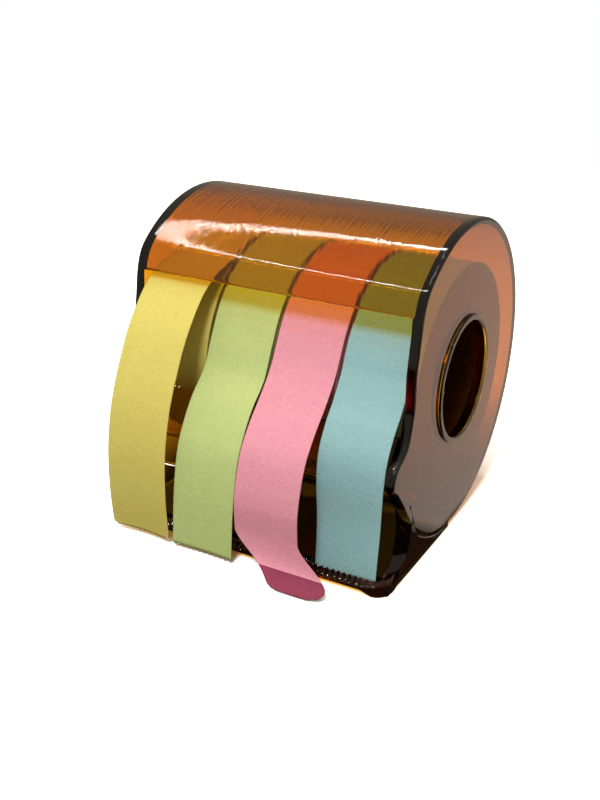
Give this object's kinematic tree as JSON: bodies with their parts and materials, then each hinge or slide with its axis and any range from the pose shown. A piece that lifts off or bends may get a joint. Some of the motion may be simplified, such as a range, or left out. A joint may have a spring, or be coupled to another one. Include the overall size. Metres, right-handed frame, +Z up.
{
  "type": "sticky note roll",
  "caption": "Rolls of coloured sticky paper tape side by side on a hub in a clear amber drum with a toothed base, their loose ends hanging out in front.",
  "frame": {"origin": "on the table, on the flat underside of the base, straight under the middle of the hub", "axes": "+X along the hub towards the end with the rim, +Y towards the closed back, +Z up"},
  "size_m": [0.0682, 0.0806, 0.071],
  "materials": {
    "amber_plastic": "clear amber moulded polystyrene, glossy, finely scratched",
    "card": "wound grey-brown card",
    "yellow_paper": "matt note paper with a fine fibrous grain",
    "green_paper": "matt note paper with a fine fibrous grain",
    "pink_paper": "matt note paper with a fine fibrous grain",
    "blue_paper": "matt note paper with a fine fibrous grain"
  },
  "bodies": {
    "root": {"cover": "amber_plastic", "base": "amber_plastic", "hub": "amber_plastic", "yellow_core": "card", "green_core": "card", "pink_core": "card", "blue_core": "card", "yellow_roll": "yellow_paper", "green_roll": "green_paper", "pink_roll": "pink_paper", "blue_roll": "blue_paper"}
  },
  "joints": []
}
